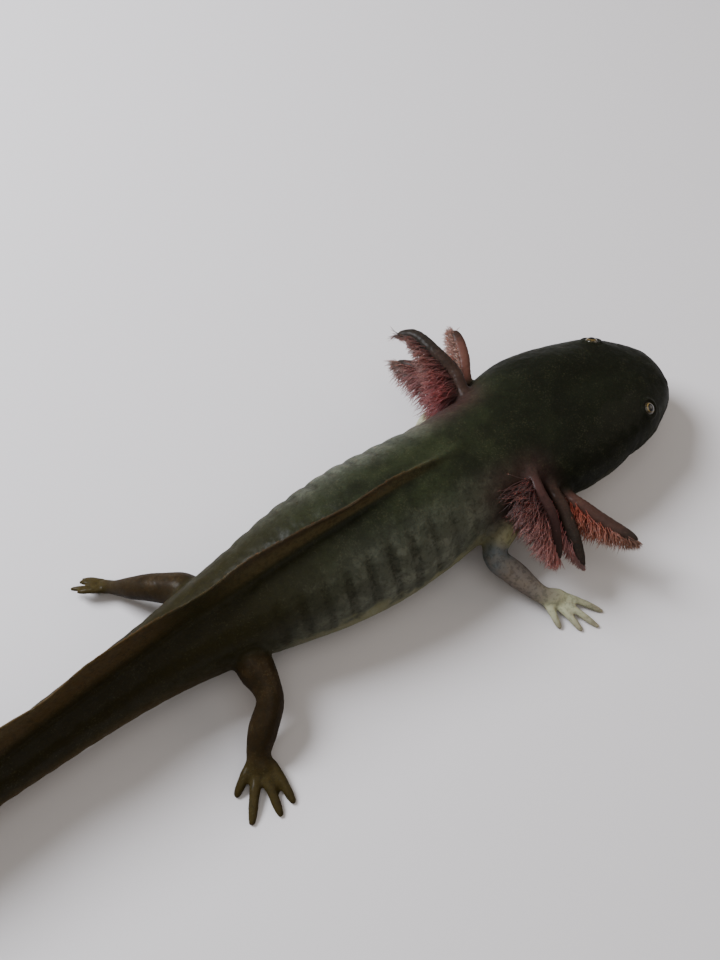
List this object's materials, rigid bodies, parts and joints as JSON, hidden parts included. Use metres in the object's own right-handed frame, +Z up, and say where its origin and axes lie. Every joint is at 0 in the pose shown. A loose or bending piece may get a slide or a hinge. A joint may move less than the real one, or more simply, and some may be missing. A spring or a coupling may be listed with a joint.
{
  "type": "axolotl",
  "caption": "Wild-type axolotl at life size, still: belly and feet on the floor, broad flat head, feathery outer gills, grooved flanks and a long finned tail bent a little to its left.",
  "frame": {"origin": "middle of the bounding box's base, on the floor that the belly and feet rest on", "axes": "+X towards the snout along the trunk, +Y to the animal's left, +Z up"},
  "size_m": [0.2268, 0.0738, 0.029],
  "materials": {
    "skin": "smooth moist skin, dark olive grey-brown, mottled",
    "fin_skin": "thin moist fin skin, a paler brown",
    "limb_skin": "smooth moist skin, brown, paler towards the toes",
    "gill_flesh": "soft moist gill flesh, pink-red",
    "eye": "dark wet eye with a thin gold ring"
  },
  "bodies": {
    "root": {"head": "skin", "neck": "skin", "trunk": "skin", "hips": "skin", "tail_base": "skin", "tail_middle": "skin", "tail_tip": "skin", "back_fin": "fin_skin", "tail_fin_upper": "fin_skin", "tail_fin_lower": "fin_skin", "front_right_upper_arm": "limb_skin", "front_right_forearm": "limb_skin", "front_right_hand": "limb_skin", "front_left_upper_arm": "limb_skin", "front_left_forearm": "limb_skin", "front_left_hand": "limb_skin", "hind_right_thigh": "limb_skin", "hind_right_shank": "limb_skin", "hind_right_foot": "limb_skin", "hind_left_thigh": "limb_skin", "hind_left_shank": "limb_skin", "hind_left_foot": "limb_skin", "gill_right_front": "gill_flesh", "gill_right_middle": "gill_flesh", "gill_right_rear": "gill_flesh", "gill_left_front": "gill_flesh", "gill_left_middle": "gill_flesh", "gill_left_rear": "gill_flesh", "eye_left": "eye", "eye_right": "eye"}
  },
  "joints": []
}
